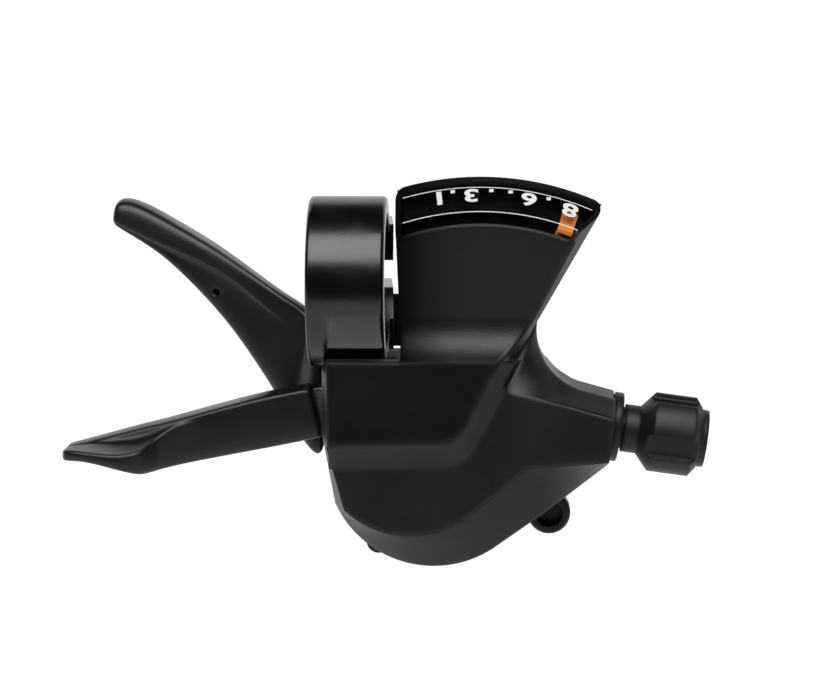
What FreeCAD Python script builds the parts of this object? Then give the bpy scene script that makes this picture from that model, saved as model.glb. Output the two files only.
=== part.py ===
import FreeCAD, Part

import math
import os

from FreeCAD import Vector

# Trigger gear shifter for a flat handlebar, in millimetres.
# Frame: the origin is the centre of the handlebar clamp, +X runs along the bar towards
# the cable outlet, +Z points from the mechanism to the clamp and +Y is the thumb side.
# The front cover and the gear display face -Y. Outlines are (x, z) points measured from the
# body's own datum, and every piece is moved by clamp_x at the end.

# Handlebar clamp
bar_radius = 11.1
clamp_clearance = 0.05
clamp_wall = 2.6
clamp_width = 12.4
clamp_x = 0.6
clamp_split = 4.5
lug_width = 12.6
lug_depth = 12.5
lug_height = 6.2
lug_rib = 1.2
lug_step = 0.6
lug_draft = 3.5
clamp_bolt_radius = 2.5
clamp_bolt_head_radius = 4.2
clamp_bolt_head_height = 4.6
clamp_bolt_socket = 4.0
clamp_bolt_tail = 3.0

# Axes of the mechanism, parallel to Y
main_x, main_z = 12.4, -27.2
needle_x, needle_z = 22.0, -27.2
release_x, release_z = 2.7, -19.8
hold_x, hold_z = 24.5, -17.35
spacer_x = 20.0
spacer_rise = 0.6

# Depths of the stacked layers along Y
panel_front = -20.5
face_front = -17.5
bevel_start = -11.0
display_edge = -18.5
plate_thickness = 3.0
needle_plate_depth = -14.0
needle_plate_thickness = 0.7
layer_gap = 0.5
release_plate_thickness = 1.5
ratchet_thickness = 2.0
lever_plate_thickness = 1.8
return_spring_room = 3.4
rear_plate_thickness = 1.5
rear_room = 4.4

# Covers
cover_wall = 1.6
cover_gap = 0.4
ring_side_gap = 1.2
bar_gap = 0.9
body_x, body_z = 14.5, -27.2
body_room = 5.0
body_lip = 0.6
body_top = -12.4
face_inset = 1.2
scoop_depth = -16.6
scoop_radius = 6.4
panel_top = -10.0
screw_radius = 1.4
screw_head_radius = 2.5
screw_head_height = 1.6
screw_post_radius = 2.6

# Gear display, on radii about the needle axis
rim_radius = 45.2
rim_wall = 1.4
lens_slope = 3.6
lens_flat = 1.6
lens_wall = 1.0
lens_gap = 0.1
lens_top_depth = -14.0
needle_margin = 0.2
needle_width_angle = 3.4
needle_reach = 4.2
needle_tip_wall = 0.6
fan_left = 8.6
fan_left_slope = 2.3
fan_side_slope = 29.5
fan_foot_x, fan_foot_z = 30.8, -4.4
fan_side_lean = 2.4
fan_wall = 0.8
fan_back = 1.0
fan_corner_radius = 1.5
edge_radius = 0.5

# Indicator gears
gear_module = 0.4
pinion_teeth = 14
sector_teeth = 62
gear_backlash = 0.10

# Ratchet
gear_steps = 7
ratchet_teeth = 20
ratchet_tip = 9.6
ratchet_root = 8.1
running_gap = 0.05

# Axle and drum
axle_radius = 2.5
axle_stub_radius = 1.5
drum_groove_radius = 8.4
drum_flange_radius = 10.4
drum_flange = 1.0
cable_depth = -7.0
cable_diameter = 1.2
drum_hub_radius = 5.6

# Trigger for the index finger
trigger_reach = 39.8
trigger_drop = 9.7
trigger_sag = 0.6
trigger_height = 7.6
trigger_tip = 2.2
trigger_front = -1.8
trigger_back = 4.9
trigger_gap = 2.5
shelf_reach = 18.6
shelf_depth = 6.0
shelf_blend = 0.3

# Paddle for the thumb, measured along its upper edge from the clamp's shadow to the tip
paddle_x, paddle_z = -7.4, -6.35
paddle_reach = 32.2
paddle_rise = 0.70
paddle_bow = 0.0035
paddle_round = 28.0
pad_start = 4.5
pad_height = 4.4
pad_swell = 2.4

# Cable adjuster, along its own tilted axis
adjuster_x, adjuster_z = 42.6, -22.1
adjuster_tilt = -7.5
boss_half_height = 5.8
boss_rise = 4.9
shoulder_x = 28.6
shoulder_slope = 33.0
adjuster_flange_radius = 5.5
adjuster_neck_radius = 3.8
adjuster_thread_radius = 2.4
knob_radius = 6.3
knob_lobes = 4
housing_bore_radius = 2.55

spacer_z = main_z - drum_flange_radius + spacer_rise
steps_angle = 360.0 / ratchet_teeth
drum_travel = gear_steps * steps_angle
clamp_bore = bar_radius + clamp_clearance
clamp_outer = clamp_bore + clamp_wall
ring_right = clamp_x + clamp_width / 2
plate_front = -plate_thickness / 2
plate_back = plate_thickness / 2
release_front = plate_back + layer_gap
release_back = release_front + release_plate_thickness
ratchet_front = release_back + layer_gap
ratchet_back = ratchet_front + ratchet_thickness
lever_front = ratchet_back + layer_gap
lever_back = lever_front + lever_plate_thickness
rear_plate_front = lever_back + return_spring_room
rear_plate_back = rear_plate_front + rear_plate_thickness
bottom_back = rear_plate_back + rear_room
body_radius = drum_flange_radius + cover_wall + body_room
body_left = body_x - body_radius - body_lip
face_left = body_left + face_inset
lens_outer = rim_radius - rim_wall
lens_bend = lens_outer - lens_slope
lens_inner = lens_bend - lens_flat


def at(x, z, y=0.0):
    return Vector(x, y, z)


def polar(radius, degrees, x=main_x, z=main_z):
    """Point (x, z) at an angle from +X, anticlockwise as the front view shows it."""
    turn = math.radians(degrees)
    return (x + radius * math.cos(turn), z + radius * math.sin(turn))


def outline(y, start, *steps):
    """Closed wire at depth y. A step is (x, z) for a line or (x, z, via_x, via_z) for an arc."""
    here = at(start[0], start[1], y)
    first = here
    edges = []
    for step in steps:
        there = at(step[0], step[1], y)
        if len(step) == 4:
            edges.append(Part.Arc(here, at(step[2], step[3], y), there).toShape())
        else:
            edges.append(Part.LineSegment(here, there).toShape())
        here = there
    if here.distanceToPoint(first) > 1e-6:
        edges.append(Part.LineSegment(here, first).toShape())
    return Part.Wire(edges)


def slab(wire, depth):
    return Part.Face(wire).extrude(Vector(0, depth, 0))


def rod(x, z, y0, y1, radius):
    return Part.makeCylinder(radius, y1 - y0, at(x, z, y0), Vector(0, 1, 0))


def tube(x, z, y0, y1, outer, inner):
    return rod(x, z, y0, y1, outer).cut(rod(x, z, y0, y1, inner))


def bar_cylinder(radius, x0, x1):
    return Part.makeCylinder(radius, x1 - x0, at(x0, 0), Vector(1, 0, 0))


def block(x0, x1, y0, y1, z0, z1):
    return Part.makeBox(x1 - x0, y1 - y0, z1 - z0, at(x0, z0, y0))


def joined(first, *others):
    return first.multiFuse(list(others)).removeSplitter()


def cut_all(shape, *tools):
    return shape.cut(list(tools)).removeSplitter()


def inset(wire, distance):
    return wire.makeOffset2D(-distance, 2, False, False) if distance else wire


def moved_to(wire, y):
    shifted = wire.copy()
    shifted.translate(Vector(0, y - wire.BoundBox.YMin, 0))
    return shifted


def sector(profile, start, sweep, x=needle_x, z=needle_z):
    """Turns a (radius, y) profile about a Y axis, from start degrees clockwise of +Z."""
    points = [at(x, z + r, y) for r, y in profile]
    face = Part.Face(Part.makePolygon(points + points[:1]))
    face.rotate(at(x, z), Vector(0, 1, 0), start)
    return face.revolve(at(x, z), Vector(0, 1, 0), sweep)


def turned(profile, x=main_x, z=main_z):
    """Full turn of a (radius, y) profile about a Y axis."""
    return sector(profile, 0, 360, x, z)


def wound(pitch, turns, radius, wire):
    """Round wire wound about +Z, swept in half turns so that no face wraps over itself."""
    halves = max(1, round(turns * 2))
    share = turns / halves
    edges = []
    for k in range(halves):
        edge = Part.makeHelix(pitch, pitch * share, radius).Edges[0]
        edge.rotate(Vector(), Vector(0, 0, 1), 360 * share * k)
        edge.translate(Vector(0, 0, pitch * share * k))
        edges.append(edge)
    section = Part.Wire(Part.makeCircle(wire / 2, Vector(radius, 0, 0), Vector(0, 1, 0)))
    return Part.Wire(edges).makePipeShell([section], True, True)


def coil(x, z, y0, radius, wire, turns, leg, start):
    """Torsion spring: close-wound turns with a straight leg at each end."""
    pitch = wire * 1.15
    body = wound(pitch, turns, radius, wire)
    turn = math.radians(360 * turns)
    tail = Vector(radius * math.cos(turn), radius * math.sin(turn), pitch * turns)
    along = Vector(-math.sin(turn), math.cos(turn), 0)
    legs = [
        Part.makeCylinder(wire / 2, leg, Vector(radius, 0, 0), Vector(0, -1, 0)),
        Part.makeCylinder(wire / 2, leg, tail, along),
    ]
    spring = joined(body, *legs)
    spring.rotate(Vector(), Vector(0, 0, 1), start)
    spring.rotate(Vector(), Vector(1, 0, 0), -90)
    spring.translate(at(x, z, y0 + wire / 2))
    return spring


# Bracket: one casting with the split ring, its two bolt lugs and the mechanism plate


def body_spot(share, degrees):
    """Point at a share of the body's radius from the middle of its round end."""
    return polar(body_radius * share, degrees, body_x, body_z)


def body_side(y, top=body_top):
    """Widest outline of the covers, with the cable boss on its right."""
    lower_left = body_spot(1.0, 204)
    bottom = body_spot(1.0, 255)
    lower_right = body_spot(1.0, -52.8)
    boss_low, boss_high = boss_corners()
    return outline(
        y,
        (body_left, top),
        (body_left, -23.0),
        lower_left,
        lower_right + bottom,
        body_spot(1.14, -25.6),
        boss_low,
        boss_high,
        (37.6, -15.7),
        (fan_foot_x, -5.0, 32.4, -11.7),
        (24.0, -5.0),
        (24.0, top),
    )


def between(first, second, share):
    return tuple(a + (b - a) * share for a, b in zip(first, second))


def boss_corners():
    tilt = math.radians(adjuster_tilt)
    up = (-math.sin(tilt), math.cos(tilt))
    low = (adjuster_x - up[0] * boss_half_height, adjuster_z - up[1] * boss_half_height)
    high = (adjuster_x + up[0] * boss_rise, adjuster_z + up[1] * boss_rise)
    return low, high


def above_shoulder(drop=0.0):
    """Space above the slanting shoulder of the plate and the rear shell, lowered by drop."""
    slope = math.tan(math.radians(shoulder_slope))
    level = body_top - cover_gap - drop
    left, right = shoulder_x - 10, shoulder_x + 30
    corners = [(left, level + 10 * slope), (right, level - 30 * slope), (right, 20.0), (left, 20.0)]
    return slab(outline(plate_front - 1, *corners), 60)


def body_front(y):
    """Outline of the lower front face, inside the bevel that runs round it."""
    low, high = boss_corners()
    return outline(
        y,
        (face_left, body_top),
        (face_left, -24.5),
        body_spot(0.9, 206.4),
        body_spot(0.555, -49.7) + body_spot(0.67, 250),
        body_spot(0.888, 0.8),
        between(low, high, 0.16),
        between(low, high, 0.80),
        (34.5, -17.0),
        (26.4, -15.4),
        (25.0, -13.9),
        (24.0, body_top),
    )


def bracket():
    ring = bar_cylinder(clamp_outer, clamp_x - clamp_width / 2, ring_right)
    ring = ring.makeFillet(0.7, [e for e in ring.Edges if e.BoundBox.XLength < 0.01])
    back = clamp_bore + lug_depth
    lug_left, lug_right = clamp_x - lug_width / 2, clamp_x + lug_width / 2 + lug_step
    lug_top = lug_height + clamp_split / 2
    lug_foot = body_top + 0.2
    lug_front = clamp_bore - clamp_wall
    taper = (back - lug_front) * math.tan(math.radians(lug_draft))
    plan = [(lug_left, lug_front), (lug_right, lug_front), (lug_right - taper, back), (lug_left, back)]
    corners = [Vector(x, y, lug_foot) for x, y in plan + plan[:1]]
    lugs = Part.Face(Part.makePolygon(corners)).extrude(Vector(0, 0, lug_top - lug_foot))
    ends = [e for e in lugs.Edges if e.BoundBox.YMin > back - 0.01 and e.BoundBox.XLength > 1]
    lugs = lugs.makeFillet(1.2, ends)
    rib_top = -clamp_split / 2 - lug_rib
    rib_front, rib_back = bar_radius + bar_gap + 0.3, back - 2.0
    rib_fall = (rib_back - rib_front) * math.tan(math.radians(3 * lug_draft))
    side = [(rib_front, lug_foot), (rib_front, rib_top), (rib_back, rib_top - rib_fall), (rib_back, lug_foot)]
    corners = [Vector(clamp_x, y, z) for y, z in side + side[:1]]
    rib = Part.Face(Part.makePolygon(corners)).extrude(Vector(lug_right + lug_rib - clamp_x, 0, 0))
    mouth = block(-lug_width, lug_width, 0, back + 1, -clamp_split / 2, clamp_split / 2)
    up = Vector(0, 0, 1)
    bolt_hole = Part.makeCylinder(clamp_bolt_radius + running_gap, 40, at(clamp_x, -20, bolt_y()), up)
    seat = Part.makeCylinder(clamp_bolt_head_radius + 0.3, 20, at(clamp_x, bolt_seat(), bolt_y()), up)
    plate = slab(inset(body_side(plate_front), cover_gap), plate_thickness)
    clear_of_bar = bar_cylinder(clamp_outer + cover_gap, ring_right, 60)
    above = block(-10, 60, -5, 5, body_top - cover_gap, 10)
    plate = cut_all(plate, clear_of_bar, above, above_shoulder())
    neck = block(-1.6, ring_right, plate_front, plate_back, body_top - 3.0, -clamp_outer + 1.0)
    holes = [rod(main_x, main_z, -9, 9, drum_hub_radius + 0.3)]
    holes += [rod(x, z, -9, 9, screw_radius + 0.2) for x, z in cover_screw_places]
    holes += [rod(x, z, -9, 9, r) for x, z, r in pin_places()]
    lever_notch = block(-20, body_left + 1.4, -9, 9, -34, -13)
    solid = joined(ring, lugs, rib)
    solid = cut_all(solid, mouth, bolt_hole, seat)
    solid = joined(solid, cut_all(plate, lever_notch), neck)
    return cut_all(solid, bar_cylinder(clamp_bore, -60, 60), *holes)


def bolt_y():
    return clamp_outer + (lug_depth - clamp_wall) / 2


def bolt_seat():
    return clamp_split / 2 + lug_height - 2.4


def clamp_bolt():
    """Socket head cap screw down through both lugs, threaded into the lower one."""
    y = bolt_y()
    low = -clamp_split / 2 - lug_height + clamp_bolt_tail - 2.0
    top = bolt_seat() + clamp_bolt_head_height
    up = Vector(0, 0, 1)
    shank = Part.makeCylinder(clamp_bolt_radius, bolt_seat() - low, at(clamp_x, low, y), up)
    place = at(clamp_x, bolt_seat(), y)
    head = Part.makeCylinder(clamp_bolt_head_radius, clamp_bolt_head_height, place, up)
    rim = [e for e in head.Edges if e.BoundBox.ZMin > top - 0.01]
    head = head.makeChamfer(0.5, rim)
    corners = []
    for k in range(7):
        x, across = polar(clamp_bolt_socket / math.sqrt(3), 60 * k, clamp_x, y)
        corners.append(Vector(x, across, top))
    socket = Part.Face(Part.makePolygon(corners)).extrude(Vector(0, 0, -2.6))
    return cut_all(joined(shank, head), socket)


# Covers

cover_screw_places = [
    (adjuster_x - 7.6, adjuster_z - boss_half_height - 0.5),
    polar(body_radius - 2.4, 254, body_x, body_z),
]


def pin_places():
    return [
        (release_x, release_z, 1.2),
        (hold_x, hold_z, 1.2),
        (spacer_x, spacer_z, 1.2),
    ]


def panel_low(y):
    """Foot of the raised panel, where its sloping sides meet the lower face."""
    return outline(
        y,
        (face_left, panel_top),
        (face_left + 0.3, -27.4),
        (16.2, -26.9),
        (21.0, -24.0, 19.2, -26.1),
        (28.4, panel_top),
    )


def panel_high(y):
    """Front outline of the raised panel."""
    return outline(
        y,
        (face_left, panel_top),
        (face_left + 0.3, -22.9),
        (15.4, -22.4),
        (19.4, -20.2, 17.9, -21.8),
        (24.4, panel_top),
    )


def fan_side(offset, z):
    """X of the fan's slanting right side at height z, moved left by offset."""
    slope = math.tan(math.radians(fan_side_slope))
    return fan_foot_x + (z - fan_foot_z) * slope - offset / math.cos(math.radians(fan_side_slope))


def fan_corner(offset, radius, rounding):
    """Steps of the fan's upper right corner, rounded between its slanting side and round top."""
    corner_z = needle_z + radius
    for _ in range(60):
        corner_z = needle_z + math.sqrt(radius ** 2 - (fan_side(offset, corner_z) - needle_x) ** 2)
    corner = Vector(fan_side(offset, corner_z), 0, corner_z)
    if not rounding:
        return [(corner.x, corner.z)]
    slope = math.radians(fan_side_slope)
    down = Vector(-math.sin(slope), 0, -math.cos(slope))
    around = Vector(needle_z - corner.z, 0, corner.x - needle_x).normalize()
    half = down.getAngle(around) / 2
    inward = (down + around).normalize()
    reach = rounding / math.tan(half)
    start = corner + down * reach
    middle = corner + inward * (rounding / math.sin(half) - rounding)
    turn = math.degrees(math.atan2(corner.z - needle_z, corner.x - needle_x) + reach / radius)
    end = polar(radius, turn, needle_x, needle_z)
    return [(start.x, start.z), end + (middle.x, middle.z)]


def fan_outline(y, offset, radius, left, foot=body_top, rounding=0.0):
    """Fan-shaped outline: straight left side, round top and slanting right side."""
    top_left = needle_z + math.sqrt(radius ** 2 - (left - needle_x) ** 2)
    slope = math.tan(math.radians(fan_left_slope))
    finish = [(left, top_left, needle_x, needle_z + radius)]
    if rounding:
        turn = math.degrees(math.acos((left - needle_x) / radius) - rounding / radius)
        start = polar(radius, turn, needle_x, needle_z)
        end = (left + slope * rounding, top_left - rounding)
        share = 1 - math.sqrt(0.5)
        middle = tuple(c + (a - c + b - c) * share for a, b, c in zip(start, end, (left, top_left)))
        finish = [start + (needle_x, needle_z + radius), end + middle]
    return outline(
        y,
        (left + slope * (top_left - foot), foot),
        (fan_side(offset, foot), foot),
        *fan_corner(offset, radius, rounding),
        *finish,
    )


def fan_form(wall, radius, back, foot=body_top, rounding=0.0):
    """Fan-shaped block, upright behind and leaning in at its right side towards the front."""
    lean_start = lens_top_depth - 0.5
    left = fan_left + wall
    upright = fan_outline(lean_start, wall, radius, left, foot, rounding)
    leaning = fan_outline(panel_front, wall + fan_side_lean, radius, left, foot, rounding)
    base = slab(moved_to(upright, back), lean_start - back)
    return joined(base, Part.makeLoft([upright, leaning], True, True))


def needle_angle():
    """Resting angle of the needle, clockwise of +Z and a margin left of the fan's inner side."""
    x, z = fan_corner(fan_wall + fan_side_lean, lens_inner, 0)[0]
    return math.degrees(math.atan2(x - needle_x, z - needle_z)) - needle_margin


def needle_back():
    return needle_plate_depth + needle_plate_thickness / 2 + 0.3


def display_cutter():
    far = panel_front - 10
    return sector(
        [
            (rim_radius + 5, lens_top_depth + 0.5),
            (rim_radius - 0.4, lens_top_depth + 0.5),
            (lens_outer, lens_top_depth),
            (lens_bend, display_edge),
            (lens_inner - 0.1, display_edge),
            (lens_inner - 0.1, far),
            (rim_radius + 5, far),
        ],
        -60,
        120,
    )


def scoop_profile(shift, x):
    """Concave wall below the display: a leaning straight and a round foot up to the panel's lip."""
    top = Vector(x, display_edge + 0.2 + shift, needle_z + lens_inner + 2.6)
    low_z = panel_top + scoop_radius * 0.98
    low = Vector(x, scoop_depth + shift, low_z)
    lip = Vector(x, panel_front + shift, panel_top - shift)
    middle_turn = math.radians(42)
    middle = Vector(
        x,
        scoop_depth + shift - scoop_radius * (1 - math.cos(middle_turn)) * 0.95,
        low_z - scoop_radius * math.sin(middle_turn) * 1.02,
    )
    return [Part.LineSegment(top, low).toShape(), Part.Arc(low, middle, lip).toShape()], top, lip


def scoop_cutter():
    edges, top, lip = scoop_profile(0, -20)
    far = panel_front - 10
    out_low = Vector(-20, far, lip.z)
    out_top = Vector(-20, far, top.z)
    edges += [
        Part.LineSegment(lip, out_low).toShape(),
        Part.LineSegment(out_low, out_top).toShape(),
        Part.LineSegment(out_top, top).toShape(),
    ]
    solid = Part.Face(Part.Wire(edges)).extrude(Vector(100, 0, 0))
    return solid.common(rod(needle_x, needle_z, far, 0, lens_inner - 0.1))


def fan_cavity():
    """Space for the needle behind the scooped wall, open at the back."""
    edges, top, lip = scoop_profile(cover_wall * 0.75, fan_left - 5)
    back = needle_back() + 1.2
    deep = Vector(fan_left - 5, lip.y, body_top - 3)
    back_low = Vector(fan_left - 5, back, body_top - 3)
    back_top = Vector(fan_left - 5, back, top.z)
    edges += [
        Part.LineSegment(lip, deep).toShape(),
        Part.LineSegment(deep, back_low).toShape(),
        Part.LineSegment(back_low, back_top).toShape(),
        Part.LineSegment(back_top, top).toShape(),
    ]
    wedge = Part.Face(Part.Wire(edges)).extrude(Vector(60, 0, 0))
    return wedge.common(fan_form(fan_wall, lens_inner - 0.1, back, body_top - 4))


def display_opening(gap=0.0):
    """The lens's own space: between the rim and the scooped wall, inside the two side walls."""
    ring = sector(
        [
            (lens_inner - 0.2 + gap, 0),
            (lens_outer + 0.1 - gap, 0),
            (lens_outer + 0.1 - gap, panel_front - 5),
            (lens_inner - 0.2 + gap, panel_front - 5),
        ],
        -60,
        120,
    )
    return ring.common(fan_form(fan_wall + gap, rim_radius + 1, needle_back() + 2.5))


def rounded_at(shape, y, radius):
    """Rounds the edges of a solid that lie in the plane at depth y."""
    edges = [e for e in shape.Edges if abs(e.BoundBox.YMin - y) < 0.01 and e.BoundBox.YLength < 0.01]
    return shape.makeFillet(radius, edges)


def top_cover():
    side = body_side(bevel_start)
    bevel = Part.makeLoft([side, body_front(face_front)], True, True)
    panel = Part.makeLoft([panel_low(face_front), panel_high(panel_front)], True, True)
    form = joined(
        slab(side, plate_front - bevel_start),
        bevel,
        rounded_at(panel, panel_front, edge_radius),
        fan_form(0, rim_radius, needle_back() + fan_back, body_top, fan_corner_radius),
    )
    form = cut_all(form, display_cutter(), scoop_cutter())
    cavity_side = inset(body_side(plate_front), cover_wall)
    cavity_front = inset(body_front(face_front + cover_wall), cover_wall)
    cavity = joined(
        slab(moved_to(cavity_side, bevel_start), plate_front - bevel_start),
        Part.makeLoft([moved_to(cavity_side, bevel_start), cavity_front], True, True),
    )
    panel_room = slab(inset(panel_high(panel_front + cover_wall), cover_wall), face_front - panel_front)
    ring_end = ring_right + ring_side_gap
    ring_room = bar_cylinder(clamp_outer + cover_gap, -30, ring_end)
    ring_wall = bar_cylinder(clamp_outer + cover_gap + cover_wall, -30, ring_end + cover_wall)
    bar_room = bar_cylinder(bar_radius + bar_gap, -60, 80)
    top_wall = block(-30, 60, needle_back(), 5, body_top - cover_wall, 20)
    room = joined(cavity, panel_room).cut([ring_wall, top_wall])
    shell = cut_all(form, room, fan_cavity(), display_opening(), ring_room, bar_room)
    needle_front = needle_plate_depth - needle_plate_thickness / 2
    posts = [rod(needle_x, needle_z, face_front + 1, needle_front - 0.3, 2.2).common(form)]
    pilots = [rod(needle_x, needle_z, face_front + 1, 0, 0.8)]
    for x, z in cover_screw_places:
        posts.append(rod(x, z, face_front + 1, plate_front, screw_post_radius).common(form))
        pilots.append(rod(x, z, plate_front - 8, plate_front, screw_radius - 0.1))
    shell = joined(shell, *posts)
    return cut_all(shell, adjuster_bore(), *pilots)


# Adjuster pieces, turned on the tilted cable axis


def on_adjuster(shape):
    """Carries a shape built along +X at the origin to the cable outlet."""
    placed = shape.copy()
    placed.rotate(Vector(), Vector(0, 1, 0), -adjuster_tilt)
    placed.translate(at(adjuster_x, adjuster_z, cable_depth))
    return placed


def lathe(profile):
    """Turns an (x, radius) profile about the X axis."""
    points = [Vector(x, 0, r) for x, r in profile]
    return Part.Face(Part.makePolygon(points + points[:1])).revolve(Vector(), Vector(1, 0, 0), 360)


insert_length = 9.0
insert_radius = 4.0


def adjuster_bore():
    seat = lathe([(-insert_length, 0), (-insert_length, insert_radius), (5, insert_radius), (5, 0)])
    cable = lathe([(-insert_length - 12, 0), (-insert_length - 12, 1.2), (0, 1.2), (0, 0)])
    return joined(on_adjuster(seat), on_adjuster(cable))


def adjuster_insert():
    """Flanged bush pressed into the boss; the hollow screw threads into it."""
    thread = adjuster_thread_radius + running_gap
    return on_adjuster(
        lathe(
            [
                (-insert_length + 0.2, thread),
                (-insert_length + 0.2, insert_radius - 0.02),
                (0.1, insert_radius - 0.02),
                (0.1, adjuster_flange_radius),
                (1.3, adjuster_flange_radius),
                (1.5, adjuster_flange_radius - 0.2),
                (1.5, adjuster_neck_radius - 0.5),
                (3.0, adjuster_neck_radius - 0.5),
                (3.0, thread),
            ]
        )
    )


def adjuster_screw():
    """Hollow threaded screw that stops the outer casing and lets the wire through."""
    return on_adjuster(
        lathe(
            [
                (-insert_length + 2.0, 1.0),
                (-insert_length + 2.0, adjuster_thread_radius),
                (6.0, adjuster_thread_radius),
                (6.0, 4.0),
                (14.6, 4.0),
                (14.6, housing_bore_radius),
                (8.4, housing_bore_radius),
                (8.4, 1.0),
            ]
        )
    )


def adjuster_knob():
    """Moulded thumb knob with broad lobes, fixed on the hollow screw."""
    bore = 4.0
    form = lathe(
        [
            (2.0, 3.5),
            (2.0, adjuster_neck_radius),
            (4.4, adjuster_neck_radius),
            (6.6, knob_radius),
            (13.0, knob_radius),
            (14.0, knob_radius - 1.3),
            (14.2, 4.6),
            (15.2, 4.5),
            (15.2, bore + 0.02),
            (6.0, bore + 0.02),
            (6.0, 3.5),
        ]
    )
    tools = []
    for k in range(knob_lobes):
        floor = knob_radius - 1.1
        groove = Part.makeBox(10.0, 3.4, 5.0, Vector(4.0, -1.7, floor))
        groove.rotate(Vector(), Vector(1, 0, 0), 360.0 / knob_lobes * k + 15)
        tools.append(groove)
    return on_adjuster(cut_all(form, *tools))


def adjuster_spring():
    """Small compression coil that gives the knob its clicks."""
    spring = wound(0.75, 3.0, 2.85, 0.5)
    spring.rotate(Vector(), Vector(0, 1, 0), 90)
    spring.translate(Vector(3.35, 0, 0))
    return on_adjuster(spring)


# Gear display: lens, dial and needle


def cone_step(offset, along):
    """(radius, y) point under the lens's sloping face, measured from its upper edge."""
    run = lens_bend - lens_outer
    drop = display_edge - lens_top_depth
    length = math.hypot(run, drop)
    u = (run / length, drop / length)
    return (lens_outer + u[0] * along + u[1] * offset, lens_top_depth + u[1] * along - u[0] * offset)


def cone_point(offset, y):
    """Point at depth y on the line that runs offset under the sloping face."""
    start = cone_step(offset, 0)
    other = cone_step(offset, 1)
    share = (y - start[1]) / (other[1] - start[1])
    return (start[0] + share * (other[0] - start[0]), y)


def lens():
    inner_front = display_edge + lens_wall
    profile = [
        (lens_outer, lens_top_depth),
        (lens_bend, display_edge),
        (lens_inner, display_edge),
        (lens_inner, inner_front),
        cone_point(lens_wall, inner_front),
        cone_step(lens_wall, 0),
        (lens_outer, cone_step(lens_wall, 0)[1]),
    ]
    return sector(profile, -60, 120).common(display_opening(lens_gap))


def dial_plate():
    """Black back wall of the display with a sloping dial under the numbers."""
    front = needle_back()
    back = front + fan_back
    wall = fan_side_lean * 0.3 + 1.6
    low = slab(fan_outline(front, wall, lens_inner + 1.0, fan_left + 1.5), back - front)
    low = low.cut(block(0, 60, front - 5, back + 5, -30, body_top - cover_wall + 2.2))
    under = lens_wall + needle_tip_wall + 1.0
    top_y = cone_step(under, 0)[1]
    inner_r = lens_inner + 1.4
    share = (cone_step(under, 0)[0] - inner_r) / (cone_step(under, 0)[0] - cone_step(under, 1)[0])
    ring = sector(
        [
            (lens_outer - 0.2, top_y),
            cone_step(under, 0),
            cone_step(under, share),
            (inner_r, back),
            (inner_r - 2.0, back),
            (inner_r - 2.0, back + 0.9),
            (lens_outer - 0.2, back + 0.9),
        ],
        -60,
        120,
    )
    seat = needle_back() + fan_back + lens_gap / 2
    backing = slab(fan_outline(seat, 0.3, rim_radius - 0.3, fan_left + 0.3), back + 0.9 - seat)
    backing = backing.cut(rod(needle_x, needle_z, seat - 1, seat + 3, inner_r - 2.0))
    return joined(low, ring.common(display_opening(lens_gap * 2)), backing)


def involute(angle):
    return math.tan(angle) - angle


def tooth_half_angle(radius, teeth):
    """Half the angle an external tooth fills at a radius; a ring gear's space is the same."""
    pressure = math.radians(20)
    pitch = gear_module * teeth / 2
    base = pitch * math.cos(pressure)
    here = math.acos(min(1.0, base / max(radius, base)))
    return math.pi / (2 * teeth) + involute(pressure) - involute(here)


def gear_ring(teeth, low, high, x, z, slack, count, first=0):
    """Tooth outline as (x, z) points: count teeth of an external gear from tooth number first."""
    points = []
    radii = [low + (high - low) * k / 3 for k in range(4)]
    for k in range(first, first + count):
        middle = math.degrees(2 * math.pi * k / teeth)
        for sign, order in ((-1, radii), (1, radii[::-1])):
            for r in order:
                half = math.degrees(tooth_half_angle(r, teeth) - slack / r)
                points.append(polar(r, middle + sign * half, x, z))
    return points


def pinion(y0, y1):
    pitch = gear_module * pinion_teeth / 2
    points = gear_ring(
        pinion_teeth, pitch - 1.25 * gear_module, pitch + 0.9 * gear_module,
        main_x, main_z, gear_backlash / 2, pinion_teeth,
    )
    return slab(outline(y0, points[0], *points[1:]), y1 - y0)


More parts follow.
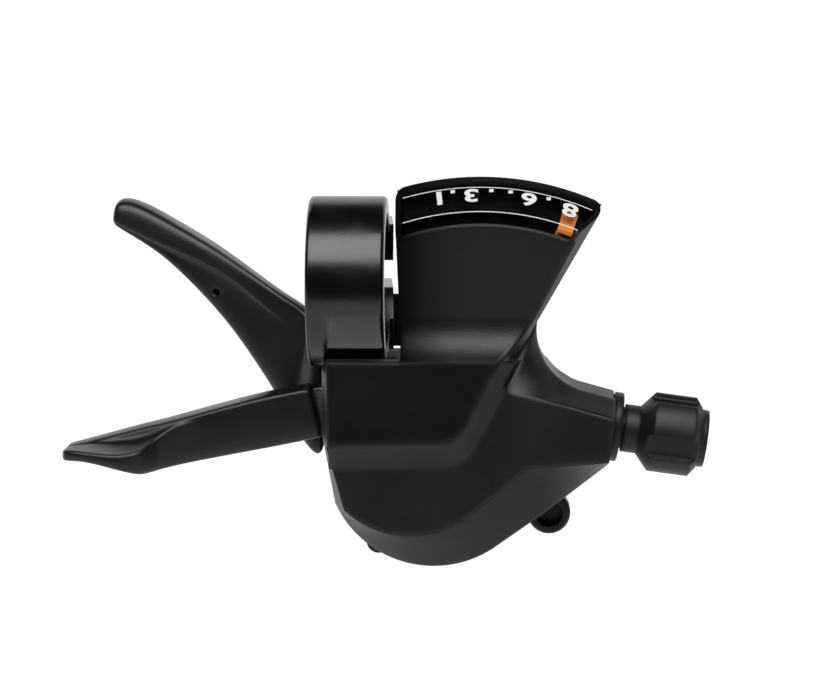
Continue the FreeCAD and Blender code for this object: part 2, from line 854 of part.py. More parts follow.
def needle():
    """Pointer arm with a toothed inner sector; its tip bends forward under the lens."""
    y0 = needle_plate_depth - needle_plate_thickness / 2
    y1 = y0 + needle_plate_thickness
    pitch = gear_module * sector_teeth / 2
    outer = pitch + 2.0
    travel = drum_travel * pinion_teeth / sector_teeth
    first = -104.0
    last = -90.0 + travel + 14.0
    web = -34.0
    rim = [(pitch - gear_module, y0), (outer, y0), (outer, y1), (pitch - gear_module, y1)]
    band = sector(rim, first, web - first + 8)
    spaces = []
    for k in range(-9, 4):
        middle = 180.0 + 360.0 * k / sector_teeth
        if 90 - last - 2 < middle < 90 - first + 3:
            points = gear_ring(
                sector_teeth, pitch - gear_module - 0.2, pitch + 1.25 * gear_module,
                needle_x, needle_z, -gear_backlash / 2, 1, k + sector_teeth // 2,
            )
            spaces.append(slab(outline(y0 - 0.1, points[0], *points[1:]), y1 - y0 + 0.2))
    smooth = sector(
        [(pitch - 2, y0 - 0.1), (pitch + 1.25 * gear_module, y0 - 0.1),
         (pitch + 1.25 * gear_module, y1 + 0.1), (pitch - 2, y1 + 0.1)],
        last - 1, web - last,
    )
    band = band.cut(spaces + [smooth])
    fan = sector([(0.5, y0), (outer, y0), (outer, y1), (0.5, y1)], web, 8 - web)
    hub = rod(needle_x, needle_z, y0, y1, 2.4)
    riser_inner = lens_inner + 0.3
    riser_outer = riser_inner + needle_tip_wall
    half = needle_width_angle / 2 - 0.1
    rest = needle_angle()
    near = lens_inner * 0.49
    far = lens_inner * 0.78
    spots = [(outer - 2, -3.0), (near, 6.0), (far, rest - 4.0), (riser_outer, rest - half),
             (riser_outer, rest + half), (far, rest - 1.0), (near, 12.5), (outer - 2, 8.0)]
    corners = [polar(r, 90 - turn, needle_x, needle_z) for r, turn in spots]
    arm = slab(outline(y0, corners[0], *corners[1:]), y1 - y0)
    under = lens_wall + 0.45
    front = display_edge + lens_wall + 0.4
    bend = cone_point(under, front)
    run = math.hypot(bend[0] - cone_step(under, 0)[0], bend[1] - cone_step(under, 0)[1])
    end = cone_step(under, run - needle_reach)
    end_back = cone_step(under + needle_tip_wall, run - needle_reach)
    back = cone_step(under + needle_tip_wall, 0)
    back_next = cone_step(under + needle_tip_wall, 1)
    share = (back[0] - riser_outer) / (back[0] - back_next[0])
    tip = sector(
        [
            (riser_inner, front), bend, end, end_back,
            cone_step(under + needle_tip_wall, share), (riser_outer, y1), (riser_inner, y1),
        ],
        rest - needle_width_angle / 2,
        needle_width_angle,
    )
    solid = joined(band, fan, hub, arm, tip)
    return cut_all(solid, rod(needle_x, needle_z, -30, 0, 0.8 + running_gap))


def needle_pin():
    front = face_front + 1.2
    back = needle_plate_depth + needle_plate_thickness / 2 + 0.15
    head = rod(needle_x, needle_z, back, back + 0.5, 1.6)
    return joined(rod(needle_x, needle_z, front, back, 0.79), head)


# Drum train on the main axle


stub_step = -10.0
drum_front = -12.9
pinion_front = -14.8
pinion_back = -13.3


def main_axle():
    """Stepped steel axle: clip groove in front, collar and thread behind."""
    return turned(
        [
            (0, pinion_front - 0.85), (axle_stub_radius - 0.2, pinion_front - 0.85),
            (axle_stub_radius - 0.2, pinion_front - 0.75), (1.1, pinion_front - 0.75),
            (1.1, pinion_front - 0.15), (axle_stub_radius, pinion_front - 0.15),
            (axle_stub_radius, stub_step), (axle_radius, stub_step),
            (axle_radius, rear_plate_front - 0.5), (4.0, rear_plate_front - 0.5),
            (4.0, rear_plate_front), (2.0, rear_plate_front),
            (2.0, bottom_back - 1.9), (0, bottom_back - 1.9),
        ]
    )


def axle_clip():
    y0 = pinion_front - 0.7
    ring = tube(main_x, main_z, y0, y0 + 0.5, 3.0, 1.12)
    return cut_all(ring, block(main_x - 0.9, main_x + 0.9, y0 - 1, y0 + 1, main_z - 5, main_z))


def axle_nut():
    y0 = rear_plate_back
    corners = [polar(7.0 / math.sqrt(3), 60 * k) for k in range(6)]
    nut = slab(outline(y0, corners[0], *corners[1:]), 2.4)
    return cut_all(nut, rod(main_x, main_z, y0 - 1, y0 + 5, 2.02))


def cable_drum():
    """Winding drum with the indicator pinion in front and the ratchet seat behind."""
    half = cable_diameter
    body = turned(
        [
            (axle_stub_radius + running_gap, pinion_back - 0.2), (2.1, pinion_back - 0.2),
            (2.1, drum_front), (5.0, drum_front),
            (5.0, cable_depth - half - drum_flange - 1.0),
            (drum_flange_radius, cable_depth - half - drum_flange),
            (drum_flange_radius, cable_depth - half), (drum_groove_radius, cable_depth - half * 0.5),
            (drum_groove_radius, cable_depth + half * 0.5), (drum_flange_radius, cable_depth + half),
            (drum_flange_radius, cable_depth + half + drum_flange),
            (drum_hub_radius, cable_depth + half + drum_flange),
            (drum_hub_radius, ratchet_front), (4.0, ratchet_front),
            (4.0, ratchet_back + 0.2), (axle_radius + running_gap, ratchet_back + 0.2),
            (axle_radius + running_gap, stub_step), (axle_stub_radius + running_gap, stub_step),
        ]
    )
    bore = rod(main_x, main_z, -20, 0, axle_stub_radius + running_gap)
    gear = pinion(pinion_front, pinion_back).cut(bore)
    nipple_x, nipple_z = polar(drum_groove_radius - 0.6, 150)
    nipple = rod(nipple_x, nipple_z, cable_depth - 5, cable_depth + half * 0.9, 2.3)
    windows = []
    for turn in (20, 260, 320):
        x, z = polar((drum_groove_radius + drum_hub_radius) / 2, turn)
        windows.append(rod(x, z, cable_depth - 6, cable_depth + 6, 1.0))
    key = block(main_x + 3.4, main_x + 5, ratchet_front, ratchet_back + 1, main_z - 5, main_z + 5)
    return joined(body, gear).cut([nipple, key] + windows)


def ratchet_outline(y):
    points = []
    for k in range(ratchet_teeth):
        face = steps_angle * k
        points.append(polar(ratchet_root, face))
        points.append(polar(ratchet_tip, face + 0.6))
        points.append(polar(ratchet_tip, face + 3.0))
    return outline(y, points[0], *points[1:])


def ratchet_wheel():
    wheel = slab(ratchet_outline(ratchet_front), ratchet_thickness)
    seat = rod(main_x, main_z, ratchet_front - 1, ratchet_back + 1, 4.02)
    seat = seat.cut(block(main_x + 3.42, main_x + 5, -20, 20, main_z - 5, main_z + 5))
    return cut_all(wheel, seat)


# Pawls, their pins and springs

hold_lift = 9.5
hold_tail = 5.5
feed_lift = 17.5
feed_angle, feed_radius = 165.0, 13.2


def nose(face):
    """Pawl nose seated in the tooth gap whose steep side stands at angle face."""
    slope = (ratchet_tip - ratchet_root) / (steps_angle - 3.0)
    return [
        polar(ratchet_root + 0.4, face - 1.6),
        polar(ratchet_tip + 0.7, face - 1.6),
        polar(ratchet_tip + 1.0, face - 9.0),
        polar(ratchet_root + 0.45 + slope * 9.0, face - 9.0),
    ]


def hold_pawl():
    """Hook pawl: holds the drum against the cable and is lifted by the release lever."""
    tip = nose(0.0)
    inner = [tip[1], (hold_x - 1.9, hold_z - 7.5), (hold_x - 1.9, hold_z)]
    outer = [(hold_x + 1.6, hold_z), (hold_x + 0.4, hold_z - 12.2), tip[2], tip[3]]
    hook = slab(outline(ratchet_front, tip[0], *inner, *outer), ratchet_thickness)
    boss = rod(hold_x, hold_z, ratchet_front, ratchet_back, 2.5)
    pawl = joined(hook, boss)
    pawl.rotate(at(hold_x, hold_z), Vector(0, -1, 0), hold_lift)
    end = hold_x - hold_tail - 0.7
    tail = slab(outline(ratchet_front, (hold_x, hold_z + 1.6), (end, hold_z + 1.4),
                        (end, hold_z - 0.2), (hold_x, hold_z - 1.4)), ratchet_thickness)
    return cut_all(joined(pawl, tail), rod(hold_x, hold_z, 0, 12, 1.6 + running_gap))


def stepped_pin(x, z):
    """Shouldered pin between the bracket plate and the rear plate, peened at both ends."""
    return turned(
        [
            (0, plate_front + 0.2), (1.2, plate_front + 0.2), (1.2, plate_back), (1.6, plate_back),
            (1.6, rear_plate_front), (1.1, rear_plate_front), (1.1, rear_plate_back),
            (1.8, rear_plate_back), (1.8, rear_plate_back + 0.5), (0, rear_plate_back + 0.5),
        ],
        x,
        z,
    )


def feed_place():
    return polar(feed_radius, feed_angle)


def feed_pawl():
    """Pushing pawl on the thumb lever, drawn seated in a tooth and then lifted clear."""
    x, z = feed_place()
    tip = nose(11 * steps_angle)
    sides = [tip[1], (x - 0.6, z - 1.2), (x + 1.6, z + 0.8), tip[2], tip[3]]
    arm = slab(outline(ratchet_front, tip[0], *sides), ratchet_thickness)
    pawl = joined(arm, rod(x, z, ratchet_front, ratchet_back, 2.2))
    pawl.rotate(at(x, z), Vector(0, 1, 0), feed_lift)
    return cut_all(pawl, rod(x, z, 0, 12, 1.1 + running_gap))


def feed_pawl_pin():
    x, z = feed_place()
    return joined(
        rod(x, z, ratchet_front - 0.3, lever_back + 0.3, 1.1),
        rod(x, z, ratchet_front - 0.35, ratchet_front - 0.1, 1.7),
    )


def return_spring():
    """Brings the thumb lever back; wound round the bush behind the lever plate."""
    return coil(main_x, main_z, lever_back + 0.3, 4.8, 0.8, 2.3, 4.0, 60)


def spring_bush():
    return tube(main_x, main_z, lever_back + 0.15, rear_plate_front - 0.6, 4.2, axle_radius + 0.02)


def release_spring():
    return coil(release_x, release_z, release_back + 0.2, 1.95, 0.5, 2.3, 2.0, 0)


def hold_spring():
    return coil(hold_x, hold_z, ratchet_back + 0.3, 2.3, 0.6, 2.3, 3.0, 200)


# Release lever, pulled by the index finger


def release_plate():
    """Steel arm from the finger end to the tab that presses the hold pawl's tail."""
    tab_x = hold_x - hold_tail
    tab_z = hold_z + 1.95
    arm = slab(
        outline(release_front, (-25.0, -24.8), (-7.0, -19.9), (-5.2, -17.9), (release_x, release_z + 3.0),
                (tab_x - 1.0, tab_z + 1.1), (tab_x + 0.5, tab_z + 1.1), (tab_x + 0.5, tab_z),
                (release_x + 3.0, release_z - 2.6), (-3.2, -24.0), (-24.4, -27.6)),
        release_plate_thickness,
    )
    tab = block(tab_x - 0.5, tab_x + 0.5, release_front, ratchet_back, tab_z, tab_z + 1.1)
    eye = rod(release_x, release_z, release_front, release_back, 3.2)
    return cut_all(joined(arm, tab, eye), rod(release_x, release_z, 0, 12, 1.6 + running_gap))


def rounded_section(top, bottom, y0, y1, radius):
    """Rounded rectangle standing between two (x, z) points, from depth y0 to y1."""
    up = Vector(top[0] - bottom[0], 0, top[1] - bottom[1])
    height = up.Length
    up.normalize()
    base = at(bottom[0], bottom[1], y0)

    def spot(u, v):
        return base + up * u + Vector(0, v, 0)

    depth = y1 - y0
    r = min(radius, height * 0.45, depth * 0.45)
    c = r * (1 - math.sqrt(0.5))
    corners = [
        ((0, r), (c, c), (r, 0)),
        ((height - r, 0), (height - c, c), (height, r)),
        ((height, depth - r), (height - c, depth - c), (height - r, depth)),
        ((r, depth), (c, depth - c), (0, depth - r)),
    ]
    edges = []
    for k, (start, middle, end) in enumerate(corners):
        edges.append(Part.Arc(spot(*start), spot(*middle), spot(*end)).toShape())
        edges.append(Part.LineSegment(spot(*end), spot(*corners[(k + 1) % 4][0])).toShape())
    return Part.Wire(edges)


def lofted(sections, radius):
    wires = [rounded_section(top, bottom, y0, y1, radius) for top, bottom, y0, y1 in sections]
    return Part.makeLoft(wires, True, False)


def trigger_top(share):
    """Point (x, z) on the trigger's upper edge at a share of its reach."""
    sag = trigger_sag * math.sin(math.pi * share)
    return (body_left - trigger_gap - trigger_reach * share, -17.4 - trigger_drop * share - sag)


def trigger_section(share):
    """Cross-section of the trigger's wall: it keeps its height and then narrows to the tip."""
    x, z = trigger_top(share)
    narrowing = 0.27 * share + 0.73 * share ** 5
    height = trigger_height - (trigger_height - trigger_tip) * narrowing
    thin = 1.6 * share ** 3
    return ((x, z), (x + 0.25 * height, z - height), trigger_front + thin * 1.1, trigger_back - thin)


def shelf_section(share):
    """Cross-section of the fingertip shelf: it swells out of the lower edge and fades to the tip."""
    tip_x, tip_z = trigger_top(1.0)
    bulge = math.sin(math.pi / 2 * min(1.0, share / shelf_blend)) ** 2 * (1 - 0.45 * share ** 4)
    x = tip_x + shelf_reach * (1 - share)
    top = tip_z - 0.5 + 3.6 * (1 - share) ** 3.3 + 0.5 * share ** 6
    low = tip_z - 3.3 + 0.9 * max(0.0, 1 - share / shelf_blend)
    low += 1.9 * math.sin(math.pi / 2 * max(0.0, share - shelf_blend) / (1 - shelf_blend)) ** 2
    return ((x, top), (x + 0.3, low), trigger_front + 0.4 - shelf_depth * bulge, trigger_front + 3.3)


def release_cap():
    """Moulded finger pull over the steel arm, with a shelf for the fingertip at its end."""
    wall = lofted([trigger_section(share) for share in (0.0, 0.26, 0.53, 0.8, 1.0)], 0.9)
    shelf = lofted([shelf_section(share) for share in (0.0, 0.1, 0.2, 0.3, 0.5, 0.75, 1.0)], 0.9)
    return cut_all(joined(wall, shelf), release_plate())


# Thumb lever


def lever_plate():
    hub = rod(main_x, main_z, lever_front, lever_back, 6.0)
    arm = slab(
        outline(lever_front, (9.5, -21.95), (3.6, -24.2), (-1.0, -21.6), (-4.0, -19.0), (-6.4, -20.4),
                (-6.0, -26.4), (1.5, -31.6), (10.0, -32.7)),
        lever_plate_thickness,
    )
    x, z = feed_place()
    axle_hole = rod(main_x, main_z, 0, 12, axle_radius + running_gap)
    return cut_all(joined(hub, arm), axle_hole, rod(x, z, 0, 12, 1.1))


def paddle_edge(along):
    """Point (x, z) on the paddle's upper edge: a slight bow that rounds off at the tip."""
    rounding = 0.17 * max(0.0, along - paddle_round) ** 2
    return (paddle_x - along, paddle_z + paddle_rise * along - paddle_bow * along ** 2 - rounding)


def paddle_front(along):
    """Depth of the paddle's front side, which bends back from the lever plate."""
    return lever_back + 2.1 + 0.66 * along - 0.0105 * along ** 2


def web_section(along):
    """Cross-section of the paddle's web; its top stays inside the pad."""
    x, z = paddle_edge(along)
    drop = 1.3 * min(1.0, max(0.0, along - 6.0) / 8.0)
    rounding = max(0.0, along - paddle_round) ** 2
    low = z + 0.17 * rounding - 14.15 + 0.5 * along - 0.0085 * along ** 2 + 0.125 * rounding
    front = paddle_front(along)
    return ((x, z - drop), (x - 4.0 + 0.12 * along, low), front, front + 4.6 - 0.04 * along)


def pad_section(along):
    """Cross-section of the thumb pad: it grows out of the web and narrows to the tip."""
    share = (along - pad_start) / (paddle_reach - pad_start)
    swell = math.sin(math.pi * share ** 0.8)
    x, z = paddle_edge(along)
    front = paddle_front(along) + 0.4 - pad_swell * swell
    back = front + 4.0 + pad_swell * 2.7 * swell
    top = z - 0.05 - 0.57 * swell
    low = z - pad_height + 2.1 * max(0.0, (along - paddle_round) / (paddle_reach - paddle_round)) ** 2
    return ((x, top), (x - 0.9 * (1 - share ** 3), low), front, back)


def lever_paddle():
    """Moulded thumb paddle: an arm that bends back past the bar and a broad pad along its top."""
    root = [
        ((-2.9, -17.6), (-3.4, -31.4), lever_front - 0.4, lever_back + 1.3),
        ((-6.1, -14.4), (-7.0, -28.2), lever_front - 0.4, lever_back + 3.2),
    ]
    near_tip = [paddle_reach - 8.2, paddle_reach - 2.8]
    web_places = [-0.9, 6.0, 15.8] + near_tip + [paddle_reach - 0.3]
    pad_places = [pad_start, 10.0, 17.0] + near_tip + [paddle_reach]
    web = lofted(root + [web_section(along) for along in web_places], 1.2)
    pad = lofted([pad_section(along) for along in pad_places], 1.3)
    hole = rod(-22.6, -4.0, lever_back, paddle_front(15.2) + 1.8, 0.65)
    x, z = feed_place()
    return cut_all(joined(web, pad), lever_plate(), hole, rod(x, z, 0, 12, 1.9))


# Rear of the mechanism


def rear_plate():
    places = [(main_x, main_z, 7.0)] + [(x, z, 3.4) for x, z, r in pin_places()]
    plate = rod(places[0][0], places[0][1], rear_plate_front, rear_plate_back, places[0][2])
    for x, z, radius in places[1:]:
        along = math.atan2(z - main_z, x - main_x)
        side = (-math.sin(along) * radius, math.cos(along) * radius)
        strip = slab(
            outline(rear_plate_front, (main_x + side[0], main_z + side[1]), (x + side[0], z + side[1]),
                    (x - side[0], z - side[1]), (main_x - side[0], main_z - side[1])),
            rear_plate_thickness,
        )
        plate = joined(plate, strip, rod(x, z, rear_plate_front, rear_plate_back, radius))
    holes = [rod(x, z, 0, 20, 1.1) for x, z, r in pin_places()]
    return cut_all(plate, rod(main_x, main_z, 0, 20, 2.02), *holes)


port_radius = 3.5
port_x, port_z = polar(body_radius + port_radius + 1.1, -30.6, body_x, body_z)
lug_post_radius = 2.0
lug_post_reach = 3.2


def bottom_cover():
    """Rear shell of the mechanism, open on the left where both levers come out."""
    depth = bottom_back - plate_back
    outer = slab(inset(body_side(plate_back), 0.7), depth)
    outer = outer.makeFillet(1.6, [e for e in outer.Edges if e.BoundBox.YMin > bottom_back - 0.01])
    outer = cut_all(outer, block(-20, 60, -5, 40, body_top - cover_gap, 10), above_shoulder())
    port = rod(port_x, port_z, 5.4, 13.0, port_radius - 0.7)
    rib = block(port_x - 5.5, port_x - 0.5, 6.5, 12.5, port_z - 0.5, port_z + 4.5)
    posts = []
    for reach in (lug_post_reach, lug_post_reach - 1.6 * lug_post_radius):
        x, z = polar(body_radius + reach, 241.5, body_x, body_z)
        posts.append(rod(x, z, lever_back + 2.6, bottom_back - 1.6, lug_post_radius))
    form = joined(outer, port, rib, *posts)
    room_side = inset(body_side(plate_back - 1, body_top + cover_wall), 0.7 + cover_wall)
    room = slab(room_side, depth + 1 - cover_wall)
    room = cut_all(room, block(-20, 60, -5, 40, body_top - cover_gap - 1.0, 10), above_shoulder(cover_wall))
    far = 45
    corners = [polar(far, turn) for turn in (128, 185, 252)]
    mouth_depth = lever_back + 2.4 - plate_back + 1
    mouth = slab(outline(plate_back - 1, (main_x - 3, main_z + 2), *corners), mouth_depth)
    ring_room = bar_cylinder(clamp_outer + cover_gap, -30, ring_right + ring_side_gap)
    cap_room = rod(port_x, port_z, plate_back - 1, 5.4, port_radius + 0.2)
    shell = cut_all(form, room, mouth, ring_room, cap_room, rod(port_x, port_z, 5.0, 10.0, 1.9))
    bosses = []
    tools = []
    for x, z in cover_screw_places:
        bosses.append(rod(x, z, plate_back, bottom_back - 1, screw_post_radius + 1.0).common(form))
        tools.append(rod(x, z, plate_back - 1, bottom_back + 1, screw_radius + 0.2))
        seat = bottom_back - screw_head_height - 1.0
        tools.append(rod(x, z, seat, bottom_back + 1, screw_head_radius + 0.3))
    return cut_all(joined(shell, *bosses), *tools)


def port_cap():
    """Round cap that closes the wire port at the lower right."""
    disc = rod(port_x, port_z, 2.2, 5.3, port_radius)
    disc = disc.makeFillet(0.6, [e for e in disc.Edges if e.BoundBox.YMax < 2.3 and len(e.Vertexes) == 1])
    plug = rod(port_x, port_z, 5.3, 9.0, 1.85)
    return cut_all(joined(disc, plug), rod(port_x, port_z, 2.0, 3.6, port_radius - 1.3))


def cover_screws():
    screws = []
    for x, z in cover_screw_places:
        seat = bottom_back - screw_head_height - 1.0
        shank = rod(x, z, plate_front - 6.5, seat, screw_radius - 0.12)
        head = rod(x, z, seat, seat + screw_head_height, screw_head_radius)
        slots = [
            block(x - 1.4, x + 1.4, seat + 0.8, seat + 5, z - 0.3, z + 0.3),
            block(x - 0.3, x + 0.3, seat + 0.8, seat + 5, z - 1.4, z + 1.4),
        ]
        screws.append(cut_all(joined(shank, head), *slots))
    return Part.makeCompound(screws)


def main():
    os.makedirs("parts", exist_ok=True)
    pieces = {
        "bracket": bracket(),
        "clamp_bolt": clamp_bolt(),
        "top_cover": top_cover(),
        "lens": lens(),
        "dial_plate": dial_plate(),
        "needle": needle(),
        "needle_pin": needle_pin(),
        "main_axle": main_axle(),
        "axle_clip": axle_clip(),
        "axle_nut": axle_nut(),
        "cable_drum": cable_drum(),
        "ratchet_wheel": ratchet_wheel(),
        "hold_pawl": hold_pawl(),
        "hold_pin": stepped_pin(hold_x, hold_z),
        "hold_spring": hold_spring(),
        "feed_pawl": feed_pawl(),
        "feed_pin": feed_pawl_pin(),
        "release_plate": release_plate(),
        "release_cap": release_cap(),
        "release_pin": stepped_pin(release_x, release_z),
        "release_spring": release_spring(),
        "spacer_pin": stepped_pin(spacer_x, spacer_z),
        "lever_plate": lever_plate(),
        "lever_paddle": lever_paddle(),
        "return_spring": return_spring(),
        "spring_bush": spring_bush(),
        "rear_plate": rear_plate(),
        "bottom_cover": bottom_cover(),
        "port_cap": port_cap(),
        "cover_screws": cover_screws(),
        "adjuster_insert": adjuster_insert(),
        "adjuster_screw": adjuster_screw(),
        "adjuster_knob": adjuster_knob(),
        "adjuster_spring": adjuster_spring(),
    }
    for name, shape in pieces.items():
        shape.translate(Vector(-clamp_x, 0, 0))
        shape.exportStep(f"parts/{name}.step")


main()
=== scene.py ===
import math

import bpy
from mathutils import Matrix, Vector


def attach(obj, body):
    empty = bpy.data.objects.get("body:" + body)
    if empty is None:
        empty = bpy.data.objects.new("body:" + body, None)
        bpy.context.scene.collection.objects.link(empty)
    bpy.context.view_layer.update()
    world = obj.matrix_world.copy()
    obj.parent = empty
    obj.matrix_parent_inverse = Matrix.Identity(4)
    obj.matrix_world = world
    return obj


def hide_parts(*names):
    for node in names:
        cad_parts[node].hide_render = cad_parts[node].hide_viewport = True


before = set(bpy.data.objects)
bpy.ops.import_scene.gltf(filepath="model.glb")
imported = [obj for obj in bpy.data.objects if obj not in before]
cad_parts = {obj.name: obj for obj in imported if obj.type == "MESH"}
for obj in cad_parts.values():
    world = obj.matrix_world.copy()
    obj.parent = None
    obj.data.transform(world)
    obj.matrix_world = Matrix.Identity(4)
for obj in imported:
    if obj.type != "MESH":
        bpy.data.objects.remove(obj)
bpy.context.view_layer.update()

# Studio: the shifter hangs in front of a white paper sweep, so every edge that turns away catches white.
# The sweep's table stops in front of it, which leaves the dark band across the clamp ring.
# The paper only glows, so the shifter throws no shadow on it.


def linear(code):
    """Linear colour of an sRGB hex code."""
    shares = [int(code[k:k + 2], 16) / 255 for k in (1, 3, 5)]
    return tuple(s / 12.92 if s <= 0.04045 else ((s + 0.055) / 1.055) ** 2.4 for s in shares) + (1.0,)


def add(tree, kind, links=None, **settings):
    """Adds a node, sets it up and links or sets its inputs."""
    node = tree.nodes.new(kind)
    for name, value in settings.items():
        setattr(node, name, value)
    for socket, value in (links or {}).items():
        if isinstance(value, bpy.types.NodeSocket):
            tree.links.new(value, node.inputs[socket])
        else:
            node.inputs[socket].default_value = value
    return node


def new_material(name):
    """Empty material with its node tree."""
    material = bpy.data.materials.new(name)
    material.use_nodes = True
    material.node_tree.nodes.clear()
    return material, material.node_tree


def mesh_piece(name, points, faces, material):
    """Plain mesh object from points in metres."""
    mesh = bpy.data.meshes.new(name)
    mesh.from_pydata(points, [], faces)
    mesh.materials.append(material)
    piece = bpy.data.objects.new(name, mesh)
    bpy.context.collection.objects.link(piece)
    return piece


sweep_paper, tree = new_material("white sweep paper")
glow = add(tree, "ShaderNodeEmission", {"Color": linear("#ffffff"), "Strength": 1.05})
add(tree, "ShaderNodeOutputMaterial", {"Surface": glow.outputs[0]})

table_low, table_near = -0.72, -2.10
wall_back, wall_top, half_width = 1.80, 1.80, 9.0
table = mesh_piece(
    "sweep_table",
    [
        (-half_width, table_near, table_low),
        (half_width, table_near, table_low),
        (half_width, wall_back, table_low),
        (-half_width, wall_back, table_low),
    ],
    [(0, 1, 2, 3)],
    sweep_paper,
)
wall = mesh_piece(
    "sweep_wall",
    [
        (-half_width, wall_back, table_low),
        (half_width, wall_back, table_low),
        (half_width, wall_back, wall_top),
        (-half_width, wall_back, wall_top),
    ],
    [(0, 1, 2, 3)],
    sweep_paper,
)

# Screens: sheets of the same paper close the room on all sides, as a plain ground for views from there.
# They only stand behind the shifter: they don't light it and it doesn't mirror them.
room = 3.0
corners = [(x, y, z) for z in (-room, room) for y in (-room, room) for x in (-room, room)]
screens = mesh_piece(
    "paper_screens",
    corners,
    [(0, 1, 3, 2), (4, 6, 7, 5), (0, 4, 5, 1), (2, 3, 7, 6), (0, 2, 6, 4), (1, 5, 7, 3)],
    sweep_paper,
)
screens.visible_diffuse = False
screens.visible_glossy = False
screens.visible_transmission = False
screens.visible_shadow = False

# Lamps: one large softbox stands high in front, the air adds very little and the right side stays dark.
# A small glowing card above the cover lights the clamp ring's underside alone. It stands for the white
# floor, which the cover hides from the ring.


def softbox(name, place, aim, width, height, radiance):
    """Rectangular area lamp that faces a point and glows with an even radiance."""
    lamp = bpy.data.lights.new(name, "AREA")
    lamp.shape = "RECTANGLE"
    lamp.size = width
    lamp.size_y = height
    lamp.energy = radiance * math.pi * width * height
    holder = bpy.data.objects.new(name, lamp)
    holder.location = place
    holder.rotation_euler = (Vector(aim) - Vector(place)).to_track_quat("-Z", "Y").to_euler()
    bpy.context.collection.objects.link(holder)
    return holder


softbox("front_softbox", (0.05, -0.489, 0.646), (0.0, 0.0, 0.0), width=1.1, height=0.58, radiance=6.0)

card_x, card_depth, card_z = 0.0019, -0.0150, -0.0099
ring_card = softbox(
    "ring_card",
    (card_x, card_depth, card_z),
    (card_x, card_depth, 0.0),
    width=0.0096,
    height=0.0100,
    radiance=1.45,
)
ring_card.visible_camera = False
ring_only = bpy.data.collections.new("lit by the ring card")
ring_only.objects.link(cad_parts["bracket"])
ring_card.light_linking.receiver_collection = ring_only

world = bpy.data.worlds.new("studio air")
world.use_nodes = True
air = world.node_tree.nodes["Background"]
air.inputs["Color"].default_value = linear("#ffffff")
air.inputs["Strength"].default_value = 0.02
bpy.context.scene.world = world
bpy.context.scene.view_settings.view_transform = "Standard"

# Camera: a long lens stands a little above the shifter and to its right.
# Its place and focal length were fitted to the photograph.
camera_data = bpy.data.cameras.new("photo_camera")
camera_data.sensor_width = 36.0
camera_data.lens = 123.4
camera_data.clip_start = 0.01
camera = bpy.data.objects.new("photo_camera", camera_data)
camera.location = (0.024939, -0.445367, 0.053655)
look_at = Vector((0.009387, -0.000018, -0.008973))
camera.rotation_euler = (look_at - camera.location).to_track_quat("-Z", "Y").to_euler()
bpy.context.collection.objects.link(camera)
bpy.context.scene.camera = camera

# Bracket: the die-cast clamp ring with its lugs and the plate behind the covers.
# It has a thin coat of black stove enamel, smooth enough to mirror the softbox as a soft band.
mm = 0.001


def dress(material, *names):
    """Gives CAD pieces their material."""
    for name in names:
        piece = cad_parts[name]
        piece.data.materials.clear()
        piece.data.materials.append(material)


ring_enamel, tree = new_material("black stove enamel on die-cast alloy")
place = add(tree, "ShaderNodeTexCoord").outputs["Object"]
orange_peel = add(tree, "ShaderNodeTexNoise", {"Vector": place, "Scale": 1 / (0.6 * mm), "Detail": 3.0})
wear = add(tree, "ShaderNodeTexNoise", {"Vector": place, "Scale": 1 / (6.0 * mm), "Detail": 4.0})
sheen = add(
    tree,
    "ShaderNodeMapRange",
    {"Value": wear.outputs[0], "From Min": 0.3, "From Max": 0.7, "To Min": 0.20, "To Max": 0.29},
)
soft_edge = add(tree, "ShaderNodeBevel", {"Radius": 0.4 * mm}, samples=6)
relief = add(
    tree,
    "ShaderNodeBump",
    {
        "Strength": 0.30,
        "Distance": 0.03 * mm,
        "Height": orange_peel.outputs[0],
        "Normal": soft_edge.outputs[0],
    },
)
coat = add(
    tree,
    "ShaderNodeBsdfPrincipled",
    {"Base Color": linear("#050505"), "Roughness": sheen.outputs[0], "Normal": relief.outputs[0]},
)
add(tree, "ShaderNodeOutputMaterial", {"Surface": coat.outputs[0]})
dress(ring_enamel, "bracket")

# Pressed and turned steel: bolt, axle, nut, pins, pawls, ratchet and plates, zinc-plated.
# Faint brush lines run along the pieces, and the plating's tint varies a little.


def plated_steel(name, code, rough, streak):
    """Steel with brush lines of the given width in metres."""
    material, tree = new_material(name)
    place = add(tree, "ShaderNodeTexCoord").outputs["Object"]
    along = add(tree, "ShaderNodeMapping", {"Vector": place, "Scale": (0.08, 1.0, 1.0)}).outputs[0]
    lines = add(tree, "ShaderNodeTexNoise", {"Vector": along, "Scale": 1 / streak, "Detail": 5.0})
    stain = add(tree, "ShaderNodeTexNoise", {"Vector": place, "Scale": 1 / (4.0 * mm), "Detail": 3.0})
    spread = add(
        tree,
        "ShaderNodeMapRange",
        {
            "Value": lines.outputs[0],
            "From Min": 0.3,
            "From Max": 0.7,
            "To Min": rough - 0.06,
            "To Max": rough + 0.10,
        },
    )
    tint = add(
        tree,
        "ShaderNodeMix",
        {0: stain.outputs[0], 6: linear(code), 7: linear("#8f8d88")},
        data_type="RGBA",
    )
    soft_edge = add(tree, "ShaderNodeBevel", {"Radius": 0.15 * mm}, samples=4)
    relief = add(
        tree,
        "ShaderNodeBump",
        {
            "Strength": 0.15,
            "Distance": 0.01 * mm,
            "Height": lines.outputs[0],
            "Normal": soft_edge.outputs[0],
        },
    )
    metal = add(
        tree,
        "ShaderNodeBsdfPrincipled",
        {
            "Base Color": tint.outputs[2],
            "Metallic": 1.0,
            "Roughness": spread.outputs[0],
            "Normal": relief.outputs[0],
        },
    )
    add(tree, "ShaderNodeOutputMaterial", {"Surface": metal.outputs[0]})
    return material


